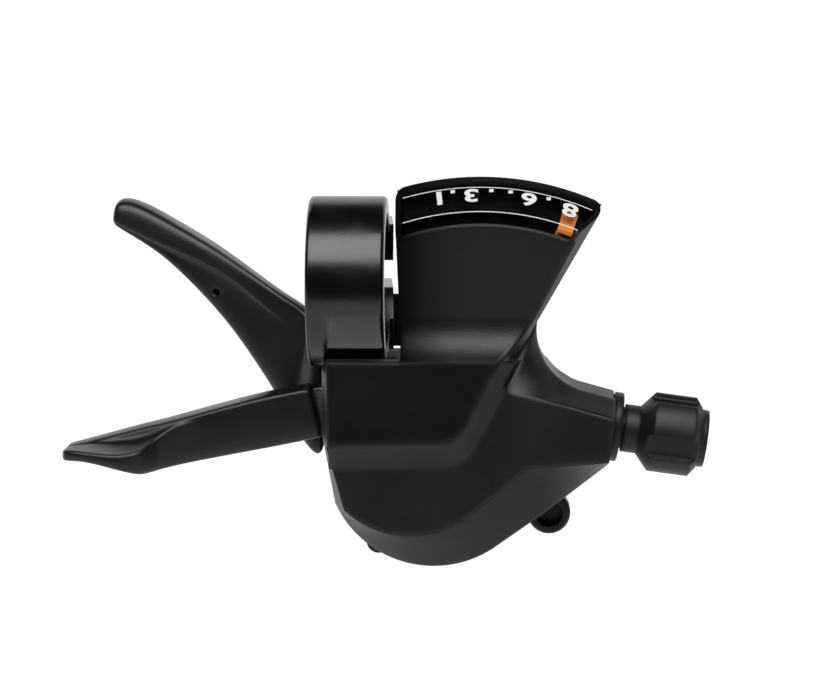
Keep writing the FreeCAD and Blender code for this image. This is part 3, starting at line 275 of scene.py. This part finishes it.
zinc_steel = plated_steel("zinc-plated pressed steel", "#b9bbbd", rough=0.30, streak=0.18 * mm)
dress(
    zinc_steel,
    "clamp_bolt",
    "main_axle",
    "axle_nut",
    "hold_pin",
    "release_pin",
    "spacer_pin",
    "feed_pin",
    "needle_pin",
    "ratchet_wheel",
    "hold_pawl",
    "feed_pawl",
    "rear_plate",
    "cover_screws",
    "adjuster_screw",
)

# Lever arms: the two pressed steel arms that carry the thumb paddle and the finger pull.
# They are bare and bright, and a sliver of the finger arm shows beside the cover.
bright_steel = plated_steel("bright bare steel strip", "#d8d9da", rough=0.24, streak=0.12 * mm)
dress(bright_steel, "lever_plate", "release_plate")

# Springs and clip: drawn wire, and a clip punched from spring strip that holds the drum on its axle.
# Both are darker and smoother than the plated pieces, with a film of oil.
spring_wire = plated_steel("oiled spring wire", "#7d7c7a", rough=0.22, streak=0.10 * mm)
dress(spring_wire, "return_spring", "release_spring", "hold_spring", "adjuster_spring", "axle_clip")

# Rear shell: black glass-filled nylon. Screws from behind hold it, the bracket's plate and the front
# cover together. The mould left a fine spark-eroded grain, and the shading rounds its edges.


def moulded(name, code, worn, grain, rough, depth, edge, gloss):
    """Moulded plastic: grain size, grain depth and edge rounding are in metres."""
    material, tree = new_material(name)
    place = add(tree, "ShaderNodeTexCoord").outputs["Object"]
    speck = add(
        tree,
        "ShaderNodeTexNoise",
        {"Vector": place, "Scale": 1 / grain, "Detail": 3.0, "Roughness": 0.6},
    )
    cloud = add(tree, "ShaderNodeTexNoise", {"Vector": place, "Scale": 1 / (9.0 * mm), "Detail": 3.0})
    tone = add(
        tree,
        "ShaderNodeMix",
        {0: speck.outputs[0], 6: linear(code), 7: linear(worn)},
        data_type="RGBA",
    )
    spread = add(
        tree,
        "ShaderNodeMapRange",
        {
            "Value": cloud.outputs[0],
            "From Min": 0.3,
            "From Max": 0.7,
            "To Min": rough - 0.05,
            "To Max": rough + 0.05,
        },
    )
    soft_edge = add(tree, "ShaderNodeBevel", {"Radius": edge}, samples=8)
    relief = add(
        tree,
        "ShaderNodeBump",
        {"Strength": 0.5, "Distance": depth, "Height": speck.outputs[0], "Normal": soft_edge.outputs[0]},
    )
    skin = add(
        tree,
        "ShaderNodeBsdfPrincipled",
        {
            "Base Color": tone.outputs[2],
            "Roughness": spread.outputs[0],
            "Specular IOR Level": gloss,
            "Normal": relief.outputs[0],
        },
    )
    add(tree, "ShaderNodeOutputMaterial", {"Surface": skin.outputs[0]})
    return material


cover_gloss = 0.34
cover_skin = {
    "code": "#070707",
    "worn": "#0d0d0e",
    "grain": 0.35 * mm,
    "rough": 0.42,
    "depth": 0.07 * mm,
    "edge": 1.2 * mm,
    "gloss": cover_gloss,
}
cover_nylon = moulded("black grained nylon", **cover_skin)
dress(cover_nylon, "bottom_cover")

# Front cover: the same nylon, one moulding with the display hood, the scooped wall and the cable boss.
# Its gloss is lowered by place: along the hood's rim and left edge, on the raised panel, on the cable boss's
# top and on the slope below the front face. Except on the panel, this is painted shade that darkens for how
# light falls.
front_nylon = moulded("black nylon with painted shade on the hood", **cover_skin)
tree = front_nylon.node_tree
hood_pivot = (21.4 * mm, 0.0, -27.2 * mm)
spot = add(tree, "ShaderNodeSeparateXYZ", {0: add(tree, "ShaderNodeTexCoord").outputs["Object"]})
spot_x, spot_y, spot_z = (spot.outputs[axis] for axis in "XYZ")
in_plane = add(tree, "ShaderNodeCombineXYZ", {0: spot_x, 2: spot_z})
from_pivot = add(
    tree,
    "ShaderNodeVectorMath",
    {0: in_plane.outputs[0], 1: hood_pivot},
    operation="DISTANCE",
)
upward = add(tree, "ShaderNodeSeparateXYZ", {0: add(tree, "ShaderNodeNewGeometry").outputs["Normal"]})
# Painted shade: each share dims the specular level in one place. On the rim, the scoop's left, the boss's top
# and the downward slope it darkens them for how light falls; the panel's share only lowers its gloss.
gloss_and_shade_shares = {}
for name, value, start, end, start_share, end_share, easing in (
    ("inside rim", from_pivot.outputs["Value"], 43.6 * mm, 44.0 * mm, 1.0, 0.12, "LINEAR"),
    ("from left edge", spot_x, 7.0 * mm, 19.0 * mm, 0.0, 1.0, "SMOOTHSTEP"),
    ("below hood", spot_z, -9.8 * mm, -10.2 * mm, 0.0, 1.0, "LINEAR"),
    ("behind panel", spot_y, -20.3 * mm, -19.8 * mm, 0.45, 1.0, "LINEAR"),
    ("facing down", upward.outputs["Z"], -0.45, -0.15, 0.68, 1.0, "LINEAR"),
    ("before face", spot_y, -17.6 * mm, -17.2 * mm, 1.0, 0.0, "LINEAR"),
    ("facing up", upward.outputs["Z"], 0.2, 0.5, 1.0, 0.30, "LINEAR"),
    ("left of boss", spot_x, 32.0 * mm, 35.0 * mm, 1.0, 0.0, "LINEAR"),
):
    gloss_and_shade_shares[name] = add(
        tree,
        "ShaderNodeMapRange",
        {"Value": value, "From Min": start, "From Max": end, "To Min": start_share, "To Max": end_share},
        interpolation_type=easing,
    ).outputs[0]
front_gloss_with_painted_shade = gloss_and_shade_shares["inside rim"]
for pair in (("from left edge", "below hood"), ("facing down", "before face"), ("facing up", "left of boss")):
    either = add(
        tree,
        "ShaderNodeMath",
        {0: gloss_and_shade_shares[pair[0]], 1: gloss_and_shade_shares[pair[1]]},
        operation="MAXIMUM",
    )
    front_gloss_with_painted_shade = add(
        tree, "ShaderNodeMath", {0: front_gloss_with_painted_shade, 1: either.outputs[0]}, operation="MULTIPLY"
    ).outputs[0]
for share in (gloss_and_shade_shares["behind panel"], cover_gloss):
    front_gloss_with_painted_shade = add(tree, "ShaderNodeMath", {0: front_gloss_with_painted_shade, 1: share}, operation="MULTIPLY").outputs[0]
# Painted shade: the dimmed specular level goes into the front cover's shader here.
tree.links.new(front_gloss_with_painted_shade, tree.nodes["Principled BSDF"].inputs["Specular IOR Level"])
dress(front_nylon, "top_cover")

# Cable adjuster: the flanged bush pressed into the boss and the lobed knob on its hollow screw.
# They are the same nylon from a smoother mould.
knob_nylon = moulded(
    "black smooth nylon",
    code="#0b0b0c",
    worn="#111112",
    grain=0.30 * mm,
    rough=0.46,
    depth=0.04 * mm,
    edge=0.9 * mm,
    gloss=0.30,
)
dress(knob_nylon, "adjuster_insert", "adjuster_knob")

# Levers: thumb paddle and finger pull, moulded over their steel arms with a satin skin.
# Both are faired from a cage of cross-sections in mm, since their mouldings run through in one sweep.
lever_nylon = moulded(
    "satin black lever nylon",
    code="#0a0a0b",
    worn="#101011",
    grain=0.30 * mm,
    rough=0.38,
    depth=0.03 * mm,
    edge=0.6 * mm,
    gloss=0.42,
)


def faired_cage(name, loops):
    """Closed cage through cross-sections of equal length, with a modifier that fairs it."""
    around = len(loops[0])
    points = [tuple(value / 1000 for value in point) for loop in loops for point in loop]
    faces = []
    for first in range(0, len(points) - around, around):
        for i in range(around):
            after = (i + 1) % around
            faces.append((first + i, first + after, first + around + after, first + around + i))
    faces += [tuple(range(around))[::-1], tuple(range(len(points) - around, len(points)))]
    cage = mesh_piece(name, points, faces, lever_nylon)
    fairing = cage.modifiers.new("fairing", "SUBSURF")
    fairing.levels = fairing.render_levels = 3
    return cage


def applied_mesh(source):
    """Plain mesh of an object with its modifiers applied. The object goes."""
    bpy.context.view_layer.update()
    mesh = bpy.data.meshes.new_from_object(source.evaluated_get(bpy.context.evaluated_depsgraph_get()))
    bpy.data.objects.remove(source)
    return mesh


def finished_lever(name, cage, body, node):
    """Piece with the cage's modifiers applied, which rides a body in place of its CAD node."""
    mesh = applied_mesh(cage)
    mesh.shade_smooth()
    piece = bpy.data.objects.new(name, mesh)
    bpy.context.collection.objects.link(piece)
    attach(piece, body)
    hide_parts(node)


# Finger pull: a flat wall over the steel arm, whose front swells into a shelf for the fingertip.
# Each station holds x, the upper edge, the lower edge, and the shelf's lip as its height and depth.
pull_stations = (
    (-6.2, -17.0, -25.3, -19.4, -1.8),
    (-6.7, -17.1, -25.4, -19.5, -1.8),
    (-13.0, -18.25, -26.9, -20.8, -1.8),
    (-20.0, -20.1, -28.4, -22.4, -1.8),
    (-25.0, -21.5, -29.5, -22.7, -1.8),
    (-28.0, -22.35, -30.1, -23.3, -2.2),
    (-30.2, -22.95, -30.6, -24.5, -2.7),
    (-31.6, -23.3, -30.85, -25.6, -4.0),
    (-33.0, -23.65, -30.95, -26.6, -6.6),
    (-35.0, -24.15, -30.55, -27.2, -7.4),
    (-38.5, -25.1, -29.6, -27.3, -7.5),
    (-42.0, -26.05, -28.8, -26.95, -6.9),
    (-44.8, -26.75, -28.75, -26.75, -6.3),
    (-45.7, -27.0, -28.8, -26.9, -5.9),
    (-46.2, -27.45, -28.6, -27.3, -4.6),
)
pull_wall, pull_back = -1.8, 4.9
pull_root, pull_reach = -6.2, 39.8
pull_lean, pull_lean_end = 0.25, 0.45


def pull_loop(place, upper, lower, lip, lip_depth):
    """Cross-section of the finger pull, forward along the foot, up the front and back over the top."""
    share = (pull_root - place) / pull_reach
    back = pull_back - 1.6 * share ** 3
    wall = pull_wall + 0.8 * share ** 3
    middle = 0.5 * (back + wall)
    lean = pull_lean * max(0.0, 1.0 - share / pull_lean_end)
    rise = upper - lip
    height = upper - lower
    round_lip = min(0.5, 0.25 * max(0.0, wall - lip_depth))
    top = (
        (back, upper - 0.6),
        (back - 0.5, upper),
        (middle, upper + 0.05),
        (wall + 0.5, upper - 0.05),
        (wall, upper - min(0.5, 0.3 * height)),
    )
    shelf = (
        (wall, lip + 0.45 * rise),
        (0.45 * lip_depth + 0.55 * wall, lip + 0.12 * rise),
        (lip_depth + round_lip, lip + 0.02),
        (lip_depth, lip - 0.2),
        (lip_depth, lip - 0.5 * (lip - lower)),
    )
    foot = (
        (lip_depth + 0.15, lower + 0.35),
        (lip_depth + 0.8, lower),
        (middle, lower),
        (back - 0.4, lower + 0.1),
        (back, lower + 0.5 * height),
    )
    return [(place + lean * (upper - z), depth, z) for depth, z in reversed(top + shelf + foot)]


pull_cage = faired_cage("finger_pull_cage", [pull_loop(*station) for station in pull_stations])
finished_lever("finger_pull", pull_cage, "finger_lever", "release_cap")

# Thumb paddle: an arm that bends back past the bar, with a broad pad along its upper edge.
# Each station holds the upper edge, the lower edge, the share of height at which the pad begins and
# how far it overhangs the arm. Depths follow the arm's bend, and the blind hole is cut last.
paddle_stations = (
    (-6.9, -8.3, -10.4, -24.1, 0.76, 0.0),
    (-6.9, -6.0, -11.4, -22.7, 0.76, 0.0),
    (-11.3, -3.95, -13.65, -19.4, 0.74, 0.0),
    (-15.0, -1.5, -16.7, -15.2, 0.71, 0.25),
    (-19.5, 1.5, -20.6, -10.0, 0.70, 1.0),
    (-24.5, 4.75, -25.2, -5.05, 0.58, 1.6),
    (-29.3, 7.35, -29.6, -0.85, 0.41, 1.9),
    (-33.0, 9.45, -33.2, 2.2, 0.25, 2.0),
    (-36.4, 11.1, -36.8, 4.45, 0.18, 2.0),
    (-39.2, 11.7, -39.8, 6.25, 0.17, 1.8),
    (-40.7, 10.5, -41.0, 7.1, 0.17, 1.5),
)
paddle_roots = (
    (-3.5, -15.2, -4.0, -31.4, 5.5, 9.2),
    (-6.7, -12.8, -7.6, -28.2, 5.5, 11.1),
)
paddle_foot = -8.0
pad_from, pad_to = 4.5, 33.4
pad_bulge, pad_drop = 4.0, 0.57


def paddle_loop(upper_x, upper_z, lower_x, lower_z, crease, overhang):
    """Cross-section of the paddle, from the arm's foot up the front, over the pad and down the back."""
    along = paddle_foot - upper_x
    front = 10.0 + 0.66 * along - 0.0105 * along ** 2
    thick = 4.6 - 0.04 * along
    share = min(1.0, max(0.0, (along - pad_from) / (pad_to - pad_from)))
    swell = math.sin(math.pi * share ** 0.8)
    back = front + thick + pad_bulge * swell
    height = upper_z - lower_z
    top = 1.0 - pad_drop * swell / height
    pad = 1.0 - crease
    below = min(4.0 / height, 0.7 * pad + 0.1)
    arm_front = (
        (0.0, front + 0.85 * thick),
        (0.0, front + 0.2 * thick),
        (0.05, front),
        (0.5 * crease, front),
        (crease - 0.03 * pad, front),
    )
    pad_front = (
        (crease - 0.01 * pad, front - 0.5 * overhang),
        (crease, front - 0.9 * overhang),
        (crease + 0.06 * pad, front - overhang),
        (crease + 0.68 * pad, front - 0.95 * overhang),
        (1.0 - 0.07 * pad, front + 0.1 - 0.4 * overhang),
    )
    rear = (
        (top + 0.004, front + 0.55 * thick),
        (top, back - 0.7),
        (top - 0.9 / height, back),
        (top - 0.7 * below, back - 0.4),
        (top - below, front + thick),
        (0.5 * (top - below), front + thick),
    )
    return [
        (lower_x + (upper_x - lower_x) * up, depth, lower_z + height * up)
        for up, depth in arm_front + pad_front + rear
    ]


def root_loop(upper_x, upper_z, lower_x, lower_z, front, back):
    """Cross-section of the paddle's root round the steel plate, with as many points as the others."""
    ups = (0.0, 0.0, 0.04, 0.35, 0.65, 0.70, 0.75, 0.8, 0.9, 0.97, 1.0, 1.0, 0.97, 0.8, 0.65, 0.35)
    depths = (0.85, 0.15, 0, 0, 0, 0, 0, 0, 0, 0, 0.3, 0.8, 1, 1, 1, 1)
    height = upper_z - lower_z
    return [
        (lower_x + (upper_x - lower_x) * up, front + (back - front) * depth, lower_z + height * up)
        for up, depth in zip(ups, depths)
    ]


paddle_loops = [root_loop(*root) for root in paddle_roots]
paddle_loops += [paddle_loop(*station) for station in paddle_stations]
paddle_cage = faired_cage("thumb_paddle_cage", paddle_loops)

hole_x, hole_z, hole_radius = -23.2 * mm, -4.0 * mm, 0.65 * mm
hole_front, hole_floor, hole_sides = 8.0 * mm, 19.4 * mm, 24
hole_turns = [k * math.tau / hole_sides for k in range(hole_sides)]
drill_points = [
    (hole_x + hole_radius * math.cos(turn), depth, hole_z + hole_radius * math.sin(turn))
    for depth in (hole_front, hole_floor)
    for turn in hole_turns
]
drill_faces = [tuple(range(hole_sides)), tuple(range(2 * hole_sides - 1, hole_sides - 1, -1))]
for k in range(hole_sides):
    after = (k + 1) % hole_sides
    drill_faces.append((k, k + hole_sides, after + hole_sides, after))
drill = mesh_piece("thumb_paddle_drill", drill_points, drill_faces, lever_nylon)
paddle_cage.modifiers.new("hole", "BOOLEAN").object = drill
finished_lever("thumb_paddle", paddle_cage, "thumb_lever", "lever_paddle")
bpy.data.objects.remove(drill)

# Drum and bush: the winding drum and the return spring's bush, in self-lubricating acetal.
# They are a dark grey that shows only through the gaps behind.
drum_acetal = moulded(
    "dark grey acetal",
    code="#2b2c2e",
    worn="#38393b",
    grain=0.40 * mm,
    rough=0.42,
    depth=0.01 * mm,
    edge=0.2 * mm,
    gloss=0.5,
)
dress(drum_acetal, "cable_drum", "spring_bush")

# Port cap: a soft moulded plug that closes the wire port at the lower right.
# The rubber is matt and takes only a dull light.
port_rubber = moulded(
    "soft black rubber",
    code="#0c0c0c",
    worn="#141414",
    grain=0.20 * mm,
    rough=0.55,
    depth=0.04 * mm,
    edge=0.4 * mm,
    gloss=0.4,
)
dress(port_rubber, "port_cap")

# Dial plate: the moulded ground behind the window, with a dead flat paint.
# It stays black, so that only the needle stands out in front of it.
dial_black = moulded(
    "flat black dial paint",
    code="#020202",
    worn="#040404",
    grain=0.20 * mm,
    rough=0.60,
    depth=0.02 * mm,
    edge=0.1 * mm,
    gloss=0.1,
)
dress(dial_black, "dial_plate")

# Needle: a fluorescent orange moulding under the window, which the drum's pinion swings.
# Its tint varies a little, as dyed plastic does.
needle_orange, tree = new_material("fluorescent orange acetal")
place = add(tree, "ShaderNodeTexCoord").outputs["Object"]
flow = add(tree, "ShaderNodeTexNoise", {"Vector": place, "Scale": 1 / (2.0 * mm), "Detail": 2.0})
dye_tone = add(
    tree,
    "ShaderNodeMix",
    {0: flow.outputs[0], 6: linear("#ff8a34"), 7: linear("#ff9d4c")},
    data_type="RGBA",
)
dye = add(tree, "ShaderNodeBsdfPrincipled", {"Base Color": dye_tone.outputs[2], "Roughness": 0.45})
add(tree, "ShaderNodeOutputMaterial", {"Surface": dye.outputs[0]})
dress(needle_orange, "needle")

# Window: a clear acrylic moulding set into the hood, smoked nearly black.
# Its polish has a faint ripple, and only the needle shows through it.
window_acrylic, tree = new_material("smoked clear acrylic")
place = add(tree, "ShaderNodeTexCoord").outputs["Object"]
ripple = add(tree, "ShaderNodeTexNoise", {"Vector": place, "Scale": 1 / (3.0 * mm), "Detail": 1.0})
polish = add(
    tree,
    "ShaderNodeMapRange",
    {"Value": ripple.outputs[0], "From Min": 0.3, "From Max": 0.7, "To Min": 0.05, "To Max": 0.10},
)
clear = add(
    tree,
    "ShaderNodeBsdfPrincipled",
    {"Base Color": linear("#030303"), "Roughness": polish.outputs[0], "Alpha": 0.12},
)
add(tree, "ShaderNodeOutputMaterial", {"Surface": clear.outputs[0]})
dress(window_acrylic, "lens")

# Dial print: two thin white lines along the window and the gear numbers, printed on its slope.
# The rider reads them from above, so they stand on their heads when seen from the front.
print_white, tree = new_material("white pad-printing ink")
place = add(tree, "ShaderNodeTexCoord").outputs["Object"]
cover_ink = add(tree, "ShaderNodeTexNoise", {"Vector": place, "Scale": 1 / (0.4 * mm), "Detail": 2.0})
ink_tone = add(
    tree,
    "ShaderNodeMix",
    {0: cover_ink.outputs[0], 6: linear("#b9b9b8"), 7: linear("#d2d2d0")},
    data_type="RGBA",
)
ink = add(tree, "ShaderNodeBsdfPrincipled", {"Base Color": ink_tone.outputs[2], "Roughness": 0.5})
add(tree, "ShaderNodeOutputMaterial", {"Surface": ink.outputs[0]})

pivot_x, pivot_z = hood_pivot[0], hood_pivot[2]
slope_top = (43.8 * mm, -14.0 * mm)
slope_foot = (40.2 * mm, -18.5 * mm)
slope_length = math.dist(slope_top, slope_foot)
down_slope = tuple((b - a) / slope_length for a, b in zip(slope_top, slope_foot))
ink_lift = 0.03 * mm


def on_slope(turn, along):
    """Point just above the window's slope, at an angle from upright and a distance down the slope."""
    radius = slope_top[0] + down_slope[0] * along - down_slope[1] * ink_lift
    depth = slope_top[1] + down_slope[1] * along + down_slope[0] * ink_lift
    return (pivot_x + radius * math.sin(turn), depth, pivot_z + radius * math.cos(turn))


def printed_line(name, along, width, first, last):
    """Thin line printed round the window between two angles in degrees."""
    count = 48
    points = []
    for k in range(count + 1):
        turn = math.radians(first + (last - first) * k / count)
        points += [on_slope(turn, along), on_slope(turn, along + width)]
    faces = [(2 * k, 2 * k + 1, 2 * k + 3, 2 * k + 2) for k in range(count)]
    line = mesh_piece(name, points, faces, print_white)
    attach(line, "housing")


printed_line("dial_line_outer", 0.14 * mm, width=0.17 * mm, first=-16.2, last=23.2)
printed_line("dial_line_inner", slope_length - 0.25 * mm, width=0.19 * mm, first=-17.4, last=21.6)

type_height, type_start, type_widening = 2.9 * mm, 0.55 * mm, 1.35


def printed_number(number, degrees):
    """One gear number, drawn as type and wrapped on the slope with its top towards the pivot."""
    curve = bpy.data.curves.new(f"number_{number}", "FONT")
    curve.body = str(number)
    curve.align_x = "CENTER"
    curve.size = 1.0
    curve.offset = 0.03
    curve.resolution_u = 8
    holder = bpy.data.objects.new(f"number_{number}_type", curve)
    bpy.context.collection.objects.link(holder)
    mesh = applied_mesh(holder)
    low = min(v.co.y for v in mesh.vertices)
    size = type_height / (max(v.co.y for v in mesh.vertices) - low)
    for v in mesh.vertices:
        turn = math.radians(degrees) - v.co.x * size * type_widening / slope_top[0]
        v.co = on_slope(turn, type_start + (v.co.y - low) * size)
    mesh.materials.append(print_white)
    piece = bpy.data.objects.new(f"dial_number_{number}", mesh)
    bpy.context.collection.objects.link(piece)
    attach(piece, "housing")


first_place, place_step, place_count = -9.83, 3.96, 8
number_nudges = {1: 1.1, 3: -0.2, 6: 0.0, 8: 0.9}
for number, nudge in number_nudges.items():
    printed_number(number, first_place + place_step * (number - 1) + nudge)

# Dial dots: the gears between the numbers are square dots in the same ink, set out by a small node tree.
# Its inputs are the first place, the step, the number of places and which of them carry numbers.
dot_size, dot_start = 0.68 * mm, 0.9 * mm
dot_place = on_slope(0.0, dot_start)
dots = bpy.data.node_groups.new("dial dots", "GeometryNodeTree")
for name, kind, value in (
    ("First place", "NodeSocketFloat", math.radians(first_place)),
    ("Step", "NodeSocketFloat", math.radians(place_step)),
    ("Places", "NodeSocketInt", place_count),
    ("Numbered places", "NodeSocketInt", sum(2 ** (number - 1) for number in number_nudges)),
    ("Dot size", "NodeSocketFloat", dot_size),
    ("Radius", "NodeSocketFloat", dot_place[2] - pivot_z),
    ("Depth", "NodeSocketFloat", dot_place[1]),
):
    socket = dots.interface.new_socket(name, in_out="INPUT", socket_type=kind)
    socket.default_value = value
dots.interface.new_socket("Geometry", in_out="OUTPUT", socket_type="NodeSocketGeometry")
given = add(dots, "NodeGroupInput").outputs
index = add(dots, "GeometryNodeInputIndex").outputs[0]

turn = add(
    dots,
    "ShaderNodeMath",
    {0: index, 1: given["Step"], 2: given["First place"]},
    operation="MULTIPLY_ADD",
).outputs[0]
across = {}
for wave, middle in (("SINE", pivot_x), ("COSINE", pivot_z)):
    share = add(dots, "ShaderNodeMath", {0: turn}, operation=wave).outputs[0]
    across[wave] = add(
        dots,
        "ShaderNodeMath",
        {0: share, 1: given["Radius"], 2: middle},
        operation="MULTIPLY_ADD",
    ).outputs[0]
dot_spot = add(dots, "ShaderNodeCombineXYZ", {0: across["SINE"], 1: given["Depth"], 2: across["COSINE"]})
places = add(dots, "GeometryNodeMeshLine", {"Count": given["Places"]})
placed = add(
    dots,
    "GeometryNodeSetPosition",
    {"Geometry": places.outputs[0], "Position": dot_spot.outputs[0]},
)

bit = add(dots, "ShaderNodeMath", {0: 2.0, 1: index}, operation="POWER")
shifted = add(dots, "ShaderNodeMath", {0: given["Numbered places"], 1: bit.outputs[0]}, operation="DIVIDE")
whole = add(dots, "ShaderNodeMath", {0: shifted.outputs[0]}, operation="FLOOR")
odd = add(dots, "ShaderNodeMath", {0: whole.outputs[0], 1: 2.0}, operation="MODULO")
numbered = add(dots, "FunctionNodeCompare", {0: odd.outputs[0], 1: 0.5}, operation="GREATER_THAN")
bare = add(
    dots,
    "GeometryNodeDeleteGeometry",
    {"Geometry": placed.outputs[0], "Selection": numbered.outputs[0]},
)

square = add(
    dots,
    "GeometryNodeMeshGrid",
    {"Size X": given["Dot size"], "Size Y": given["Dot size"], "Vertices X": 2, "Vertices Y": 2},
)
dot_lean = math.atan2(-down_slope[0], -down_slope[1])
facing = add(dots, "ShaderNodeCombineXYZ", {0: dot_lean, 1: turn, 2: 0.0})
spread_dots = add(
    dots,
    "GeometryNodeInstanceOnPoints",
    {"Points": bare.outputs[0], "Instance": square.outputs[0], "Rotation": facing.outputs[0]},
)
real_dots = add(dots, "GeometryNodeRealizeInstances", {0: spread_dots.outputs[0]})
inked = add(dots, "GeometryNodeSetMaterial", {"Geometry": real_dots.outputs[0], "Material": print_white})
add(dots, "NodeGroupOutput", {0: inked.outputs[0]})

carrier = mesh_piece("dial_dots_tree", [(0.0, 0.0, 0.0)], [], print_white)
carrier.modifiers.new("dial dots", "NODES").node_group = dots
dial_dots = bpy.data.objects.new("dial_dots", applied_mesh(carrier))
bpy.context.collection.objects.link(dial_dots)
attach(dial_dots, "housing")
